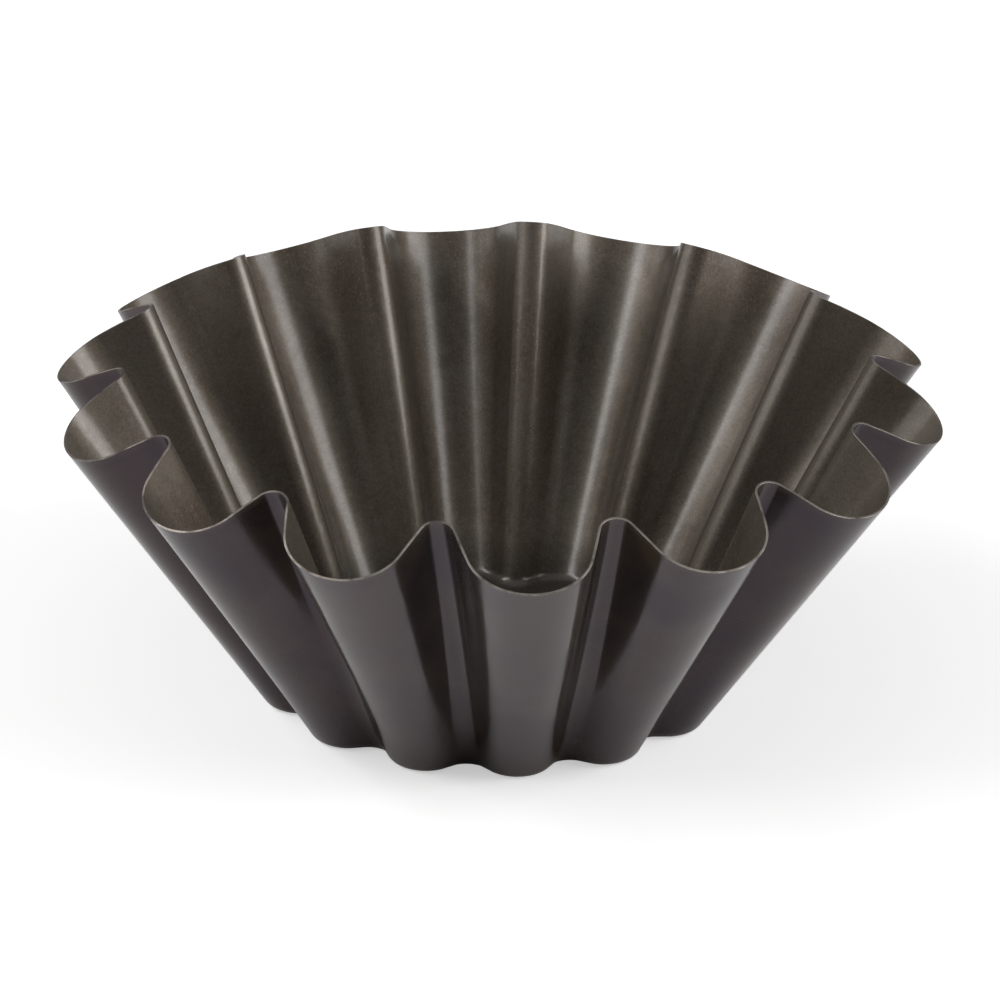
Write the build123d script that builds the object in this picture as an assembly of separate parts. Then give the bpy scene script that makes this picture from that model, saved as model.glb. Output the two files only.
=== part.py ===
from build123d import *
from math import atan, atan2, cos, hypot, pi, sin, tan
import os

# Fluted brioche mould, drawn in one piece from a round blank of coated sheet steel.
# Millimetres, +Z up. The origin is the middle of the flat base, on the face it stands on.
# A lobe is the outward bulge of a flute, a ridge the inward fold between two lobes.
# Radii and heights are those of the sheet's outer face. One lobe lies on +X.

flute_count = 14
sheet_thickness = 0.6

# Rim: the blank's edge, trimmed about square to the wall, so the lobes end lower than the ridges
rim_lobe_radius = 110.0
rim_ridge_radius = 92.7
rim_lobe_height = 74.0
rim_ridge_height = 84.3

# Foot: where the straight lines of a lobe and a ridge would meet the plane of the base
foot_lobe_radius = 58.4
foot_ridge_radius = 52.1
foot_bend_radius = 4.0

# Folds: radius in plan at each ridge, alike from foot to rim
ridge_fold_radius = 4.0

# Flanks: straight width in plan between a lobe's round and a fold, wider at the rim
rim_flank_width = 10.8
foot_flank_width = 3.0

# The rounds of the wall are drawn in this many strips each, which run straight from foot to rim,
# and the bend at the foot in this many bands
lobe_strip_count = 12
ridge_strip_count = 6
bend_band_count = 2

# The wall is drawn this far past the rim and then trimmed
trim_overrun = 2.5

half_pitch = pi / flute_count
lobe_lean = (rim_lobe_radius - foot_lobe_radius) / rim_lobe_height
ridge_lean = (rim_ridge_radius - foot_ridge_radius) / rim_ridge_height
flank_widening = (rim_flank_width - foot_flank_width) / rim_ridge_height
rim_slope = (rim_ridge_height - rim_lobe_height) / (rim_lobe_radius - rim_ridge_radius)
drawn_height = rim_ridge_height + trim_overrun

# At the foot the sheet turns through this angle, and the bend's centre line lies this far in
bend_turn = pi / 2 - atan(lobe_lean)
bend_setback = foot_bend_radius * tan(bend_turn / 2)


# A point of a flute, given by its round's centre with its own lobe on +X
def round_point(centre, radius, angle, lobe_angle, height):
    offset = Vector(radius * cos(angle), radius * sin(angle), height)
    return (centre + offset).rotate(Axis.Z, lobe_angle * 180 / pi)


# A level round, cut in equal arcs
def round_arcs(centre, radius, start_angle, end_angle, arc_count, lobe_angle, height):
    def point_at(share):
        angle = start_angle + (end_angle - start_angle) * share
        return round_point(centre, radius, angle, lobe_angle, height)

    arcs = []
    for i in range(arc_count):
        share = i / arc_count
        next_share = (i + 1) / arc_count
        middle = point_at((share + next_share) / 2)
        arcs.append(Edge.make_three_point_arc(point_at(share), middle, point_at(next_share)))
    return arcs


# One closed level outline. Each flute has a lobe round, a straight flank, a ridge round and a
# straight flank again, tangent where they meet. The inset moves it inwards about the same centres.
def fluted_outline(height, inset):
    lobe_radius = foot_lobe_radius + lobe_lean * height
    ridge_radius = foot_ridge_radius + ridge_lean * height
    flank_width = foot_flank_width + flank_widening * height

    # Centre of the ridge round, seen from the lobe's crest: how far inwards and how far across
    fold_centre_radius = ridge_radius + ridge_fold_radius
    inwards = lobe_radius - fold_centre_radius * cos(half_pitch)
    across = fold_centre_radius * sin(half_pitch)

    # The lobe round that leaves a flank of this width between the two
    reach = inwards**2 + across**2 - ridge_fold_radius**2 - flank_width**2
    lobe_round_radius = reach / (2 * (inwards + ridge_fold_radius))
    lobe_centre = Vector(lobe_radius - lobe_round_radius, 0)
    fold_centre = Vector(lobe_radius - inwards, across)

    # Both rounds face this way where the flank meets them
    centres_angle = atan2(across, lobe_round_radius - inwards)
    flank_angle = centres_angle - atan2(flank_width, lobe_round_radius + ridge_fold_radius)
    fold_start = flank_angle + pi
    fold_end = 2 * half_pitch - flank_angle + pi
    lobe_size = lobe_round_radius - inset
    fold_size = ridge_fold_radius + inset

    edges = []
    for flute in range(flute_count):
        lobe_angle = 2 * half_pitch * flute
        next_angle = lobe_angle + 2 * half_pitch
        lobe_end = round_point(lobe_centre, lobe_size, flank_angle, lobe_angle, height)
        fold_first = round_point(fold_centre, fold_size, fold_start, lobe_angle, height)
        fold_last = round_point(fold_centre, fold_size, fold_end, lobe_angle, height)
        next_lobe_start = round_point(lobe_centre, lobe_size, -flank_angle, next_angle, height)
        edges += round_arcs(
            lobe_centre, lobe_size, -flank_angle, flank_angle, lobe_strip_count, lobe_angle, height
        )
        edges.append(Edge.make_line(lobe_end, fold_first))
        edges += round_arcs(
            fold_centre, fold_size, fold_start, fold_end, ridge_strip_count, lobe_angle, height
        )
        edges.append(Edge.make_line(fold_last, next_lobe_start))
    return Wire(edges)


# The solid that one face of the sheet encloses: flat floor, bend and fluted wall. Both faces
# of the sheet bend about the same centre line at the foot.
def drawn_form(bend_radius):
    outlines = []
    for i in range(bend_band_count + 1):
        turned = bend_turn * i / bend_band_count
        height = foot_bend_radius - bend_radius * cos(turned)
        inset = lobe_lean * height + bend_setback - bend_radius * sin(turned)
        outlines.append(fluted_outline(height, inset))

    # A level plane cuts a leaning wall at a slant, so the sheet measures more there
    level_inset = (foot_bend_radius - bend_radius) * hypot(1, lobe_lean)
    outlines.append(fluted_outline(drawn_height, level_inset))
    return Solid.make_loft(outlines, ruled=True)


# Everything above the cone on which the trimmed rim lies
def rim_trim():
    outer_radius = 2 * rim_lobe_radius
    axis_height = rim_lobe_height + rim_lobe_radius * rim_slope
    outer_height = axis_height - outer_radius * rim_slope
    top_height = axis_height + drawn_height
    profile = Polyline(
        (0, axis_height),
        (outer_radius, outer_height),
        (outer_radius, top_height),
        (0, top_height),
        close=True,
    )
    return revolve(Plane.XZ * make_face(profile), Axis.Z)


def mould_shell():
    outer_form = drawn_form(foot_bend_radius) - rim_trim()
    inner_form = drawn_form(foot_bend_radius - sheet_thickness)
    return outer_form - inner_form


os.makedirs("parts", exist_ok=True)
shell = mould_shell()
export_step(shell, "parts/mould_shell.step")
print("mould_shell", "faces", len(shell.faces()), "volume", round(shell.volume, 1))
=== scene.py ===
import bpy
from math import atan, atan2, cos, pi, radians, sin, tan
from mathutils import Matrix, Vector


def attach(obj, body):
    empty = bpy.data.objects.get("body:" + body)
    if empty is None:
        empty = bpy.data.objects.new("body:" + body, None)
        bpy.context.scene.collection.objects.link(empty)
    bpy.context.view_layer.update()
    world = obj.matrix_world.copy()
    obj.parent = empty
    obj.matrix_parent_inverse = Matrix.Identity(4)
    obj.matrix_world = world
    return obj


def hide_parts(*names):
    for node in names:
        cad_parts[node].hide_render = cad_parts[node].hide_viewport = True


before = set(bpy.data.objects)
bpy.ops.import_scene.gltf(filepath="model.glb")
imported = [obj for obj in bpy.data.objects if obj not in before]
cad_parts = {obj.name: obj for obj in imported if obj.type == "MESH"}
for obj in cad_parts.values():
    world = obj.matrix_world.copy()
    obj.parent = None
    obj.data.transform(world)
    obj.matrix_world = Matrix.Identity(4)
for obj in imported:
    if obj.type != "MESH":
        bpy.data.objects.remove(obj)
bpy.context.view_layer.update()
print("frame loaded, nodes:", ", ".join(sorted(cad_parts)))

scene = bpy.context.scene
scene.view_settings.view_transform = "Standard"
mm = 0.001  # every table below is in millimetres and degrees


def linearColour(hexColour):  # sRGB hex to the linear values that the shaders take
    channels = [int(hexColour[i:i + 2], 16) / 255 for i in (1, 3, 5)]
    return [c / 12.92 if c <= 0.04045 else ((c + 0.055) / 1.055) ** 2.4 for c in channels] + [1.0]


# links gives sockets, by name or number, a value or another node's output
def addNode(owner, kind, links=None, **settings):
    node = owner.node_tree.nodes.new("ShaderNode" + kind)
    for name, value in settings.items():
        setattr(node, name, value)
    for socket, value in (links or {}).items():
        if isinstance(value, bpy.types.NodeSocket):
            owner.node_tree.links.new(value, node.inputs[socket])
        else:
            node.inputs[socket].default_value = value
    return node


# camera: a long lens from the front, looking down into the mould
camera = dict(
    azimuth=-83.019,
    elevation=24.632,
    distance=2042.1,
    aimHeight=42.0,
    across=-1.256,
    upwards=-5.478,
    roll=-1.157,
    lens=296.66,
    clipStart=100.0,
    clipEnd=50000.0,
)


def direction(azimuth, elevation):
    a, e = radians(azimuth), radians(elevation)
    return Vector((cos(a) * cos(e), sin(a) * cos(e), sin(e)))


def placeCamera(c):
    data = bpy.data.cameras.new("photo_camera")
    data.lens = c["lens"]
    data.clip_start = c["clipStart"] * mm
    data.clip_end = c["clipEnd"] * mm
    back = direction(c["azimuth"], c["elevation"])
    level = direction(c["azimuth"] + 90.0, 0.0)
    upright = back.cross(level)
    r = radians(c["roll"])
    right = level * cos(r) - upright * sin(r)
    up = level * sin(r) + upright * cos(r)
    item = bpy.data.objects.new("photo_camera", data)
    scene.collection.objects.link(item)
    aim = Vector((0, 0, c["aimHeight"])) - right * c["across"] - up * c["upwards"]
    item.location = (aim + back * c["distance"]) * mm
    item.rotation_euler = Matrix((right, up, back)).transposed().to_euler()
    scene.camera = item


placeCamera(camera)
print("camera placed")


# the mould's sheet, pressed from one disc: the first values are the part's own sizes
mould = dict(
    fluteCount=14,
    sheet=0.6,
    rimLobeRadius=110.0,
    rimRidgeRadius=92.7,
    rimLobeHeight=74.0,
    rimRidgeHeight=84.3,
    footLobeRadius=58.4,
    footRidgeRadius=52.1,
    footBend=4.0,
    ridgeFold=4.0,
    rimFlank=10.8,
    footFlank=3.0,
    rimCrown=0.52,  # the rim bows up this much between lobe and ridge
    rimTries=30,  # each column's rim height closes in on its value in this many tries
    rimPull=0.6,
    leanHeight=20.0,  # the wall's lean is taken from here to the base
    lobeSteps=24,  # columns round a lobe, across a flank and round a fold
    flankSteps=4,
    foldSteps=12,
    floorRings=6,
    bendRows=7,
    wallRows=26,
    rimRound=0.12,  # the sheared edge is broken by this much
    rimRoundSteps=2,
    rimRoundAngle=60.0,
    twist=1.43,  # the base sits turned against the rim
    turnWaves=((0.146, 1.405), (-0.551, -0.21), (0.283, -0.339)),  # flutes pressed a little unevenly, degrees
    radiusWaves=((0.0, 0.0), (-0.062, 0.081), (0.202, 0.405)),  # the rim a little out of round
)


# a flute's level outline with its lobe on +X: centre and radius of the lobe's round, the angle at
# which a flank leaves it, and the centre of the fold
def outlineAt(m, height):
    halfPitch = pi / m["fluteCount"]
    fold = m["ridgeFold"]
    lobe = m["footLobeRadius"] + (m["rimLobeRadius"] - m["footLobeRadius"]) * height / m["rimLobeHeight"]
    ridge = m["footRidgeRadius"] + (m["rimRidgeRadius"] - m["footRidgeRadius"]) * height / m["rimRidgeHeight"]
    flank = m["footFlank"] + (m["rimFlank"] - m["footFlank"]) * height / m["rimRidgeHeight"]
    foldX = (ridge + fold) * cos(halfPitch)
    foldY = (ridge + fold) * sin(halfPitch)
    inwards = lobe - foldX
    arc = (inwards ** 2 + foldY ** 2 - fold ** 2 - flank ** 2) / (2 * (inwards + fold))
    turn = atan2(foldY, arc - inwards) - atan2(flank, arc + fold)
    return lobe - arc, arc, turn, foldX, foldY


# a point of the sheet's outer face, and the way the face looks there
def columnPoint(m, flute, step, height):
    halfPitch = pi / m["fluteCount"]
    centre, arc, turn, foldX, foldY = outlineAt(m, height)
    fold = m["ridgeFold"]
    lobeEnd, firstFlank = m["lobeSteps"], m["lobeSteps"] + m["flankSteps"]
    foldEnd = firstFlank + m["foldSteps"]
    if step <= lobeEnd:
        a = turn * (2 * step / lobeEnd - 1)
        x, y = centre + arc * cos(a), arc * sin(a)
    elif step < firstFlank or step > foldEnd:
        second = step > foldEnd
        share = (step - foldEnd if second else firstFlank - step) / m["flankSteps"]
        x = foldX - fold * cos(turn) + (centre + arc * cos(turn) - foldX + fold * cos(turn)) * share
        y = foldY - fold * sin(turn) + (arc * sin(turn) - foldY + fold * sin(turn)) * share
        a = turn
        if second:  # mirrored about the ridge
            c, s = cos(2 * halfPitch), sin(2 * halfPitch)
            x, y = x * c + y * s, x * s - y * c
            a = 2 * halfPitch - turn
    else:
        a = turn + 2 * (halfPitch - turn) * (step - firstFlank) / m["foldSteps"]
        x, y = foldX - fold * cos(a), foldY - fold * sin(a)
    c, s = cos(2 * halfPitch * flute), sin(2 * halfPitch * flute)
    return Vector((x * c - y * s, x * s + y * c)), Vector((cos(a) * c - sin(a) * s, cos(a) * s + sin(a) * c))


# where a column meets the trimmed rim
def rimHeight(m, flute, step):
    drop = m["rimLobeRadius"] - m["rimRidgeRadius"]
    slope = (m["rimRidgeHeight"] - m["rimLobeHeight"]) / drop
    height = m["rimLobeHeight"]
    for _ in range(m["rimTries"]):
        inwards = m["rimLobeRadius"] - columnPoint(m, flute, step, height)[0].length
        share = inwards / drop
        target = m["rimLobeHeight"] + inwards * slope + m["rimCrown"] * 4 * share * (1 - share)
        height += (target - height) * m["rimPull"]
    return height


# a pressing's own faults: the base sits turned, and the waves grow towards the rim
def outOfTrue(m, point, height):
    share = height / m["rimRidgeHeight"]
    fromCamera = atan2(point.y, point.x) - radians(camera["azimuth"] + 90.0)
    turned, grown = m["twist"] * (1 - share), 0.0
    for k, (turnWave, radiusWave) in enumerate(zip(m["turnWaves"], m["radiusWaves"]), 1):
        wave = Vector((cos(k * fromCamera), sin(k * fromCamera)))
        turned += share * wave.dot(turnWave)
        grown += share * wave.dot(radiusWave)
    c, s = cos(radians(turned)), sin(radians(turned))
    if point.length > 0:
        point = point * (1 + grown / point.length)
    return Vector((point.x * c - point.y * s, point.x * s + point.y * c, height))


# one column of the outer face, across the base, round the bend and up to the rim
def sheetColumn(m, flute, step):
    low, normal = columnPoint(m, flute, step, 0)
    lean = (columnPoint(m, flute, step, m["leanHeight"])[0] - low).dot(normal) / m["leanHeight"]
    rise = pi / 2 - atan(lean)
    back = m["footBend"] * tan(rise / 2)
    flat = low - normal * back
    column = [outOfTrue(m, flat * (i + 1) / (m["floorRings"] + 1), 0) for i in range(m["floorRings"])]
    for i in range(m["bendRows"]):
        bent = rise * i / m["bendRows"]
        height = m["footBend"] * (1 - cos(bent))
        inset = height * lean + back - m["footBend"] * sin(bent)
        wall, normal = columnPoint(m, flute, step, height)
        column.append(outOfTrue(m, wall - normal * inset, height))
    bendTop = m["footBend"] * (1 - cos(rise))
    top = rimHeight(m, flute, step)
    for i in range(m["wallRows"] + 1):
        height = bendTop + (top - bendTop) * i / m["wallRows"]
        column.append(outOfTrue(m, columnPoint(m, flute, step, height)[0], height))
    return column


inside, outside, rimEdge = 0, 1, 2  # the order of the three finishes


# both faces of the sheet and its sheared edge, closed
def makeSheet(m):
    stepCount = m["lobeSteps"] + 2 * m["flankSteps"] + m["foldSteps"]
    columns = []
    for flute in range(m["fluteCount"]):
        columns += [sheetColumn(m, flute, step) for step in range(stepCount)]
    count, rows = len(columns), len(columns[0])
    middle = Vector((0, 0, 0))
    outer = [middle] + [p for column in columns for p in column]
    inner = [Vector((0, 0, m["sheet"]))]
    for j in range(count):
        for i in range(rows):
            along = columns[j][min(i + 1, rows - 1)] - (columns[j][i - 1] if i else middle)
            across = columns[(j + 1) % count][i] - columns[j - 1][i]
            outwards = across.cross(along).normalized()
            if i < m["floorRings"]:
                outwards = Vector((0, 0, -1))
            inner.append(columns[j][i] - outwards * m["sheet"])

    # faces, and for each its finish and its place: once round from left to right, base to rim upwards
    faces, finishes, places = [], [], []
    total = len(outer)
    foldStep = m["lobeSteps"] + m["flankSteps"] + m["foldSteps"] / 2
    turnAt = [(j + stepCount / 2 - foldStep) / count for j in range(count + 1)]
    upAt = [(i + 1) / rows for i in range(rows)]
    for j in range(count):
        here, there = 1 + j * rows, 1 + (j + 1) % count * rows
        left, right = turnAt[j], turnAt[j + 1]
        centre, first, second = ((left + right) / 2, 0), (left, upAt[0]), (right, upAt[0])
        faces += [(0, there, here), (total, total + here, total + there)]
        places += [centre, second, first, centre, first, second]
        finishes += [outside, inside]
        for i in range(rows - 1):
            a, b, c, d = here + i, there + i, there + i + 1, here + i + 1
            faces += [(a, b, c, d), (total + d, total + c, total + b, total + a)]
            corners = [(left, upAt[i]), (right, upAt[i]), (right, upAt[i + 1]), (left, upAt[i + 1])]
            places += corners + corners[::-1]
            finishes += [outside, inside]
        a, b = here + rows - 1, there + rows - 1
        faces.append((a, b, total + b, total + a))
        places += [(left, 1), (right, 1), (right, 1), (left, 1)]
        finishes.append(rimEdge)
    mesh = bpy.data.meshes.new("mould_sheet")
    mesh.from_pydata([p * mm for p in outer + inner], [], faces)
    mesh.polygons.foreach_set("material_index", finishes)
    mesh.polygons.foreach_set("use_smooth", [True] * len(faces))
    uvs = mesh.uv_layers.new(name="sheet").data
    uvs.foreach_set("uv", [value for place in places for value in place])
    mesh.update()
    return mesh


sheetMesh = makeSheet(mould)
mouldSheet = bpy.data.objects.new("mould_sheet", sheetMesh)
scene.collection.objects.link(mouldSheet)
rimRounding = mouldSheet.modifiers.new("rim_rounding", "BEVEL")
rimRounding.width = mould["rimRound"] * mm
rimRounding.segments = mould["rimRoundSteps"]
rimRounding.limit_method = "ANGLE"
rimRounding.angle_limit = radians(mould["rimRoundAngle"])
rimRounding.material = rimEdge
rimRounding.harden_normals = True
print("sheet made:", len(sheetMesh.vertices), "vertices")


# inside: non-stick coating, sprayed on and baked. Its fine metal flake dries to a satin grain, browner
# where the spray fell thin, so a lamp spreads into soft streaks along the folds and lobes
innerCoat = dict(
    colour="#726a60",
    thinColour="#5f5449",  # where less was sprayed
    thinFrom=0.55,  # clouds and mottle added up: thin spray starts and is fully thin at these sums
    thinTo=0.9,
    cloud=34.0,
    mottle=2.8,
    mottleShare=0.4,
    metalFlake=0.94,  # share of metal flake, which mirrors softly and in the coating's brown
    roughness=0.6,
    thickGloss=-0.04,  # change of roughness where the spray is thick, and where it is thin
    thinGloss=0.05,
    ior=1.5,
    filmRoughness=0.245,  # the clear film that dries over the flake
    filmIor=1.5,
    grain=0.6,  # the real grain is near 0.1 mm, which wouldn't show, so it is drawn coarser
    grainShade=0.2,
    grainHeight=0.01,
    fleckColour="#7a6e62",  # clots of spray, in some of the cells
    fleckGap=0.9,
    fleckSize=0.36,
    fleckShare=0.35,
    orangePeel=1.9,
    orangePeelHeight=0.01,
    rubAndSheenColour="#7f776f",  # rubbed along the folds by cakes coming out, in patches, and lighter there also as a painted highlight on each fold
    rubRoughness=0.48,
    rubAndSheenWidth=0.05,  # share of a flute on each side of a fold
    rubAndSheenFrom=0.35,
    rubAndSheenTo=0.7,
    drawLines=260,  # faint lines up the wall, left by the press: this many round it
    drawLineBreaks=1.6,
    drawLineShade=0.05,
    drawLineHeight=0.003,
    buckle=15.0,  # the pressed sheet isn't quite even, which bends what it mirrors
    buckleHeight=0.05,
    paintedFootShade=0.52,  # painted shade: the base and the foot are darkened to this share, fading out by the height below
    shadedFootHeight=12.0,
)

# outside: baked lacquer, run smoother than the inside. Nearly black itself, so what shows is the
# table mirrored in it, broken a little by cloudy gloss and by the press's lines under the film
outerCoat = dict(
    colour="#352c21",
    cloudColour="#1d1813",
    cloud=26.0,
    cloudSwirl=0.6,
    cloudFrom=0.4,
    cloudTo=0.62,
    roughness=0.13,
    cloudRoughness=0.22,
    ior=1.5,
    mirrorTint="#fde6fb",  # the faint violet cast of what the lacquer mirrors
    orangePeel=3.0,
    orangePeelHeight=0.006,
    drawLines=190,
    drawLineBreaks=1.2,
    drawLineHeight=0.004,
    buckle=13.0,
    buckleHeight=0.13,
    wornColour="#4a423d",  # thinned at the foot's corner and just under the rim
    wornRoughness=0.34,
    footWear=1.6,
    rimWearFrom=0.985,  # share of the way from the base's middle to the rim
    mottle=3.2,  # makes the wear ragged
    raggedLeast=0.4,
    raggedMost=1.6,
)

# rim: the bare edge where the blank was sheared, dull grey steel with lacquer run over parts of it
bareEdge = dict(
    colour="#a39b93",
    roughness=0.42,
    lacquerColour="#4b433d",
    run=5.5,
    runFrom=0.45,
    runTo=0.65,
    shearMarks=0.5,
    shearMarkHeight=0.03,
)

noiseLow, noiseHigh = 0.3, 0.7  # most of a noise lies between these
lineLow, lineHigh = 0.35, 0.65  # and most of the drawn-out lines between these


def newMaterial(name):
    material = bpy.data.materials.new(name)
    material.use_nodes = True
    material.node_tree.nodes.clear()
    return material


def makeInnerCoat(c):
    coat = newMaterial("nonstick_inside")
    place = addNode(coat, "TexCoord").outputs["Object"]
    height = addNode(coat, "SeparateXYZ", {0: place}).outputs[2]
    along = addNode(coat, "UVMap", uv_map="sheet").outputs[0]
    onWall = addNode(
        coat, "MapRange", {0: height, 1: mould["sheet"] * mm, 2: c["shadedFootHeight"] * mm},
        interpolation_type="SMOOTHSTEP").outputs[0]

    # colour: clouds of thinner spray, a finer mottle over them, then the grain and the flecks
    cloud = addNode(coat, "TexNoise", {"Vector": place, "Scale": 1 / (c["cloud"] * mm), "Detail": 3.0})
    mottle = addNode(
        coat, "TexNoise",
        {"Vector": place, "Scale": 1 / (c["mottle"] * mm), "Detail": 3.0, "Roughness": 0.6}).outputs[0]
    blend = addNode(
        coat, "Math", {0: mottle, 1: c["mottleShare"], 2: cloud.outputs[0]},
        operation="MULTIPLY_ADD").outputs[0]
    thin = addNode(coat, "MapRange", {0: blend, 1: c["thinFrom"], 2: c["thinTo"]})
    sprayed = addNode(
        coat, "Mix", {0: thin.outputs[0], 6: linearColour(c["colour"]), 7: linearColour(c["thinColour"])},
        data_type="RGBA")
    grain = addNode(
        coat, "TexNoise",
        {"Vector": place, "Scale": 1 / (c["grain"] * mm), "Detail": 2.0, "Roughness": 0.7}).outputs[0]
    grainShade = addNode(
        coat, "MapRange",
        {0: grain, 1: noiseLow, 2: noiseHigh, 3: 1 - c["grainShade"], 4: 1 + c["grainShade"]})
    grained = addNode(coat, "VectorMath", {0: sprayed.outputs[2], 3: grainShade.outputs[0]}, operation="SCALE")
    cells = addNode(coat, "TexVoronoi", {"Vector": place, "Scale": 1 / (c["fleckGap"] * mm)})
    fleckRadius = c["fleckSize"] / c["fleckGap"]
    spot = addNode(coat, "MapRange", {0: cells.outputs["Distance"], 1: fleckRadius, 2: 0.5 * fleckRadius})
    pick = addNode(coat, "SeparateXYZ", {0: cells.outputs["Color"]})
    chosen = addNode(coat, "Math", {0: pick.outputs[0], 1: c["fleckShare"]}, operation="LESS_THAN")
    fleck = addNode(coat, "Math", {0: spot.outputs[0], 1: chosen.outputs[0]}, operation="MULTIPLY")
    flecked = addNode(
        coat, "Mix", {0: fleck.outputs[0], 6: grained.outputs[0], 7: linearColour(c["fleckColour"])},
        data_type="RGBA")

    # rubbed folds, lighter also as a painted highlight: the map puts the middle of each fold half way through
    # its flute
    around = addNode(coat, "SeparateXYZ", {0: along})
    turn = addNode(coat, "Math", {0: around.outputs[0], 1: mould["fluteCount"]}, operation="MULTIPLY")
    share = addNode(coat, "Math", {0: turn.outputs[0]}, operation="FRACT")
    fromFold = addNode(coat, "Math", {0: share.outputs[0], 1: 0.5}, operation="SUBTRACT")
    beside = addNode(coat, "Math", {0: fromFold.outputs[0]}, operation="ABSOLUTE")
    nearFold = addNode(coat, "MapRange", {0: beside.outputs[0], 1: c["rubAndSheenWidth"], 2: 0.0})
    patch = addNode(coat, "MapRange", {0: mottle, 1: c["rubAndSheenFrom"], 2: c["rubAndSheenTo"]})
    patchy = addNode(coat, "Math", {0: nearFold.outputs[0], 1: patch.outputs[0]}, operation="MULTIPLY")
    rubAndSheen = addNode(coat, "Math", {0: patchy.outputs[0], 1: onWall}, operation="MULTIPLY").outputs[0]
    # the lighter fold colour is partly wear and partly a painted highlight
    rubbedAndSheened = addNode(
        coat, "Mix", {0: rubAndSheen, 6: flecked.outputs[2], 7: linearColour(c["rubAndSheenColour"])}, data_type="RGBA")

    # lines from the press: noise drawn out along the wall, none on the base
    stretch = addNode(
        coat, "VectorMath", {0: along, 1: (c["drawLines"], c["drawLineBreaks"], 0)}, operation="MULTIPLY")
    drawn = addNode(coat, "TexNoise", {"Vector": stretch.outputs[0], "Scale": 1.0, "Detail": 2.0})
    lines = addNode(coat, "Math", {0: drawn.outputs[0], 1: onWall}, operation="MULTIPLY").outputs[0]
    lineShade = addNode(
        coat, "MapRange",
        {0: lines, 1: lineLow, 2: lineHigh, 3: 1 - c["drawLineShade"], 4: 1 + c["drawLineShade"]})
    lined = addNode(coat, "VectorMath", {0: rubbedAndSheened.outputs[2], 3: lineShade.outputs[0]}, operation="SCALE")
    # painted shade: the colour darkens on the base and round the foot, as if in the mould's own shadow
    footShade = addNode(coat, "MapRange", {0: onWall, 3: c["paintedFootShade"], 4: 1.0})
    footShaded = addNode(coat, "VectorMath", {0: lined.outputs[0], 3: footShade.outputs[0]}, operation="SCALE")

    # gloss: shinier where it's rubbed, a little duller where it's thin
    rough = addNode(coat, "MapRange", {0: rubAndSheen, 3: c["roughness"], 4: c["rubRoughness"]})
    cloudy = addNode(
        coat, "MapRange", {0: blend, 1: c["thinFrom"], 2: c["thinTo"], 3: c["thickGloss"], 4: c["thinGloss"]})
    roughness = addNode(coat, "Math", {0: rough.outputs[0], 1: cloudy.outputs[0]}, operation="ADD")

    # bumps: lines from the press, the uneven sheet, the skin that the spray dries to, and its grain
    lineBump = addNode(coat, "Bump", {"Height": lines, "Distance": c["drawLineHeight"] * mm})
    buckle = addNode(coat, "TexNoise", {"Vector": place, "Scale": 1 / (c["buckle"] * mm), "Detail": 1.0})
    buckleBump = addNode(coat, "Bump", {
        "Height": buckle.outputs[0], "Distance": c["buckleHeight"] * mm, "Normal": lineBump.outputs[0]})
    peel = addNode(coat, "TexNoise", {"Vector": place, "Scale": 1 / (c["orangePeel"] * mm), "Detail": 1.0})
    peelBump = addNode(coat, "Bump", {
        "Height": peel.outputs[0], "Distance": c["orangePeelHeight"] * mm, "Normal": buckleBump.outputs[0]})
    bump = addNode(coat, "Bump", {
        "Height": grain, "Distance": c["grainHeight"] * mm, "Normal": peelBump.outputs[0]}).outputs[0]
    shader = addNode(coat, "BsdfPrincipled", {
        "Base Color": footShaded.outputs[0], "Metallic": c["metalFlake"], "Roughness": roughness.outputs[0],
        "IOR": c["ior"], "Normal": bump, "Coat Weight": 1.0, "Coat Roughness": c["filmRoughness"],
        "Coat IOR": c["filmIor"], "Coat Normal": bump})
    addNode(coat, "OutputMaterial", {"Surface": shader.outputs[0]})
    return coat


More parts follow.
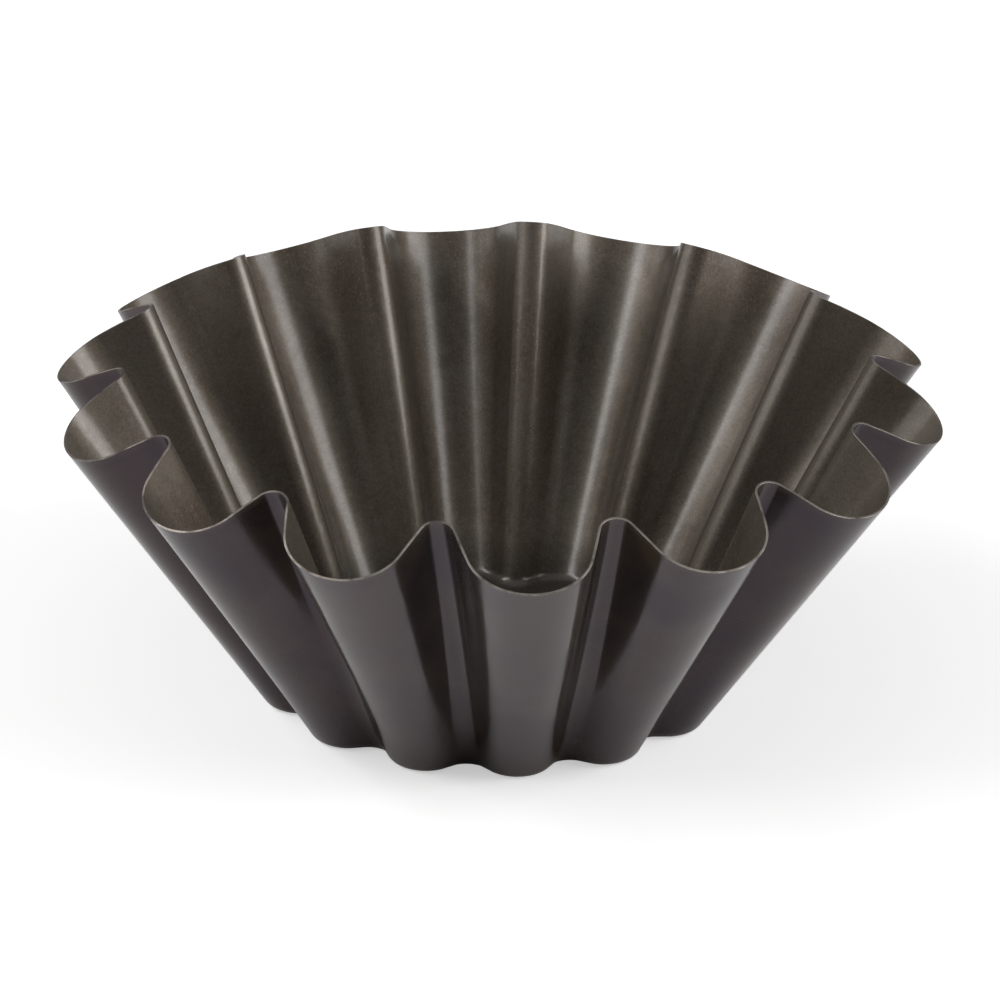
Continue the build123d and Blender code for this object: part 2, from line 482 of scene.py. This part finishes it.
def makeOuterCoat(c):
    coat = newMaterial("baked_lacquer_outside")
    place = addNode(coat, "TexCoord").outputs["Object"]
    height = addNode(coat, "SeparateXYZ", {0: place}).outputs[2]
    along = addNode(coat, "UVMap", uv_map="sheet").outputs[0]

    cloud = addNode(coat, "TexNoise", {
        "Vector": place, "Scale": 1 / (c["cloud"] * mm), "Detail": 3.0, "Distortion": c["cloudSwirl"]})
    dim = addNode(coat, "MapRange", {0: cloud.outputs[0], 1: c["cloudFrom"], 2: c["cloudTo"]}).outputs[0]
    clouded = addNode(
        coat, "Mix", {0: dim, 6: linearColour(c["colour"]), 7: linearColour(c["cloudColour"])},
        data_type="RGBA")

    # wear: a ring at the foot's corner and a band under the rim, both ragged
    mottle = addNode(
        coat, "TexNoise",
        {"Vector": place, "Scale": 1 / (c["mottle"] * mm), "Detail": 3.0, "Roughness": 0.6}).outputs[0]
    ragged = addNode(
        coat, "MapRange", {0: mottle, 1: noiseLow, 2: noiseHigh, 3: c["raggedLeast"], 4: c["raggedMost"]})
    footBand = addNode(coat, "Math", {0: height, 1: ragged.outputs[0]}, operation="MULTIPLY")
    foot = addNode(coat, "MapRange", {0: footBand.outputs[0], 1: c["footWear"] * mm, 2: 0.0})
    upwards = addNode(coat, "SeparateXYZ", {0: along})
    rimBand = addNode(coat, "MapRange", {0: upwards.outputs[1], 1: c["rimWearFrom"], 2: 1.0})
    rim = addNode(coat, "Math", {0: rimBand.outputs[0], 1: mottle}, operation="MULTIPLY")
    worn = addNode(
        coat, "Math", {0: foot.outputs[0], 1: rim.outputs[0]}, operation="MAXIMUM", use_clamp=True).outputs[0]
    coloured = addNode(
        coat, "Mix", {0: worn, 6: clouded.outputs[2], 7: linearColour(c["wornColour"])}, data_type="RGBA")

    # gloss: cloudy over the wall, dull where it's worn
    gloss = addNode(coat, "MapRange", {0: dim, 3: c["roughness"], 4: c["cloudRoughness"]})
    roughness = addNode(coat, "Mix", {0: worn, 2: gloss.outputs[0], 3: c["wornRoughness"]})

    # bumps: lines from the press, none on the base, then the uneven sheet and the lacquer's own skin
    stretch = addNode(
        coat, "VectorMath", {0: along, 1: (c["drawLines"], c["drawLineBreaks"], 0)}, operation="MULTIPLY")
    drawn = addNode(coat, "TexNoise", {"Vector": stretch.outputs[0], "Scale": 1.0, "Detail": 2.0})
    onWall = addNode(coat, "MapRange", {0: height, 1: 0.0, 2: mould["footBend"] * mm})
    lines = addNode(coat, "Math", {0: drawn.outputs[0], 1: onWall.outputs[0]}, operation="MULTIPLY")
    lineBump = addNode(coat, "Bump", {"Height": lines.outputs[0], "Distance": c["drawLineHeight"] * mm})
    buckle = addNode(coat, "TexNoise", {"Vector": place, "Scale": 1 / (c["buckle"] * mm), "Detail": 1.0})
    buckleBump = addNode(coat, "Bump", {
        "Height": buckle.outputs[0], "Distance": c["buckleHeight"] * mm, "Normal": lineBump.outputs[0]})
    peel = addNode(coat, "TexNoise", {"Vector": place, "Scale": 1 / (c["orangePeel"] * mm), "Detail": 1.0})
    bump = addNode(coat, "Bump", {
        "Height": peel.outputs[0], "Distance": c["orangePeelHeight"] * mm, "Normal": buckleBump.outputs[0]})
    shader = addNode(coat, "BsdfPrincipled", {
        "Base Color": coloured.outputs[2], "Roughness": roughness.outputs[0], "IOR": c["ior"],
        "Normal": bump.outputs[0], "Specular Tint": linearColour(c["mirrorTint"])})
    addNode(coat, "OutputMaterial", {"Surface": shader.outputs[0]})
    return coat


def makeBareEdge(c):
    edge = newMaterial("sheared_steel_edge")
    place = addNode(edge, "TexCoord").outputs["Object"]
    runs = addNode(edge, "TexNoise", {"Vector": place, "Scale": 1 / (c["run"] * mm), "Detail": 3.0})
    covered = addNode(edge, "MapRange", {0: runs.outputs[0], 1: c["runFrom"], 2: c["runTo"]}).outputs[0]
    coloured = addNode(
        edge, "Mix", {0: covered, 6: linearColour(c["colour"]), 7: linearColour(c["lacquerColour"])},
        data_type="RGBA")
    bare = addNode(edge, "MapRange", {0: covered, 3: 1.0, 4: 0.0})
    marks = addNode(edge, "TexNoise", {"Vector": place, "Scale": 1 / (c["shearMarks"] * mm), "Detail": 2.0})
    bump = addNode(edge, "Bump", {"Height": marks.outputs[0], "Distance": c["shearMarkHeight"] * mm})
    shader = addNode(edge, "BsdfPrincipled", {
        "Base Color": coloured.outputs[2], "Metallic": bare.outputs[0], "Roughness": c["roughness"],
        "Normal": bump.outputs[0]})
    addNode(edge, "OutputMaterial", {"Surface": shader.outputs[0]})
    return edge


for material in (makeInnerCoat(innerCoat), makeOuterCoat(outerCoat), makeBareEdge(bareEdge)):
    sheetMesh.materials.append(material)

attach(mouldSheet, "root")
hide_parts("mould_shell")
print("coatings made")


# studio: white table, two softboxes beside the mould, a weak one overhead and a dim room
studio = dict(
    tableColour="#f4f4f4",
    tableGlow=0.5,  # keeps the table white to the eye, lights nothing
    mirrorGlow=0.38,  # the same for the table as the lacquer mirrors it
    paintedShadowStart=50.0,  # painted shadow: that glow fades out towards the foot, so the lacquer mirrors a darker ring round the mould
    paintedShadowEnd=74.0,
    tableHalf=4000.0,
    tableGap=0.05,
    roomColour="#ffffff",
    roomStrength=0.06,
    lamps=(
        dict(name="softbox_left", azimuth=-165.0, elevation=45.0, width=1700, height=290, radiance=8.5),
        dict(name="softbox_right", azimuth=-4.5, elevation=26.0, width=1050, height=1420, radiance=4.3),
        dict(name="fill_left", azimuth=-163.0, elevation=17.0, width=1700, height=760, radiance=1.18),
        dict(name="overhead", azimuth=-83.0, elevation=86.0, width=2200, height=2200, radiance=0.35),
    ),
    lampDistance=1700,
)


def makeStudio(s):
    half = s["tableHalf"] * mm
    mesh = bpy.data.meshes.new("studio_table")
    corners = [(-half, -half, 0), (half, -half, 0), (half, half, 0), (-half, half, 0)]
    mesh.from_pydata(corners, [], [(0, 1, 2, 3)])
    table = bpy.data.objects.new("studio_table", mesh)
    table.location.z = -s["tableGap"] * mm
    scene.collection.objects.link(table)

    paper = newMaterial("white_table")
    diffuse = addNode(paper, "BsdfDiffuse", {"Color": linearColour(s["tableColour"])})
    path = addNode(paper, "LightPath")
    seen = addNode(
        paper, "Math", {0: path.outputs["Is Camera Ray"], 1: s["tableGlow"]}, operation="MULTIPLY")
    place = addNode(paper, "TexCoord").outputs["Object"]
    away = addNode(paper, "VectorMath", {0: place}, operation="LENGTH").outputs["Value"]
    # painted shadow: the mirrored glow fades to nothing near the foot, by distance from the middle
    shadowFadedGlow = addNode(
        paper, "MapRange",
        {0: away, 1: s["paintedShadowStart"] * mm, 2: s["paintedShadowEnd"] * mm, 4: s["mirrorGlow"]},
        interpolation_type="SMOOTHSTEP")
    mirrored = addNode(
        paper, "Math", {0: path.outputs["Is Glossy Ray"], 1: shadowFadedGlow.outputs[0]}, operation="MULTIPLY")
    strength = addNode(paper, "Math", {0: seen.outputs[0], 1: mirrored.outputs[0]}, operation="ADD")
    glow = addNode(paper, "Emission", {"Strength": strength.outputs[0]})
    both = addNode(paper, "AddShader", {0: diffuse.outputs[0], 1: glow.outputs[0]})
    addNode(paper, "OutputMaterial", {"Surface": both.outputs[0]})
    mesh.materials.append(paper)

    room = bpy.data.worlds.new("studio_room")
    scene.world = room
    room.use_nodes = True
    background = room.node_tree.nodes["Background"]
    background.inputs["Color"].default_value = linearColour(s["roomColour"])
    background.inputs["Strength"].default_value = s["roomStrength"]

    for lamp in s["lamps"]:
        data = bpy.data.lights.new(lamp["name"], "AREA")
        data.shape = "RECTANGLE"
        data.size = lamp["width"] * mm
        data.size_y = lamp["height"] * mm
        data.energy = lamp["radiance"] * pi * data.size * data.size_y
        item = bpy.data.objects.new(lamp["name"], data)
        out = direction(lamp["azimuth"], lamp["elevation"])
        item.location = (out * s["lampDistance"] + Vector((0, 0, camera["aimHeight"]))) * mm
        item.rotation_euler = out.to_track_quat("Z", "Y").to_euler()
        scene.collection.objects.link(item)


makeStudio(studio)
print("studio lit")
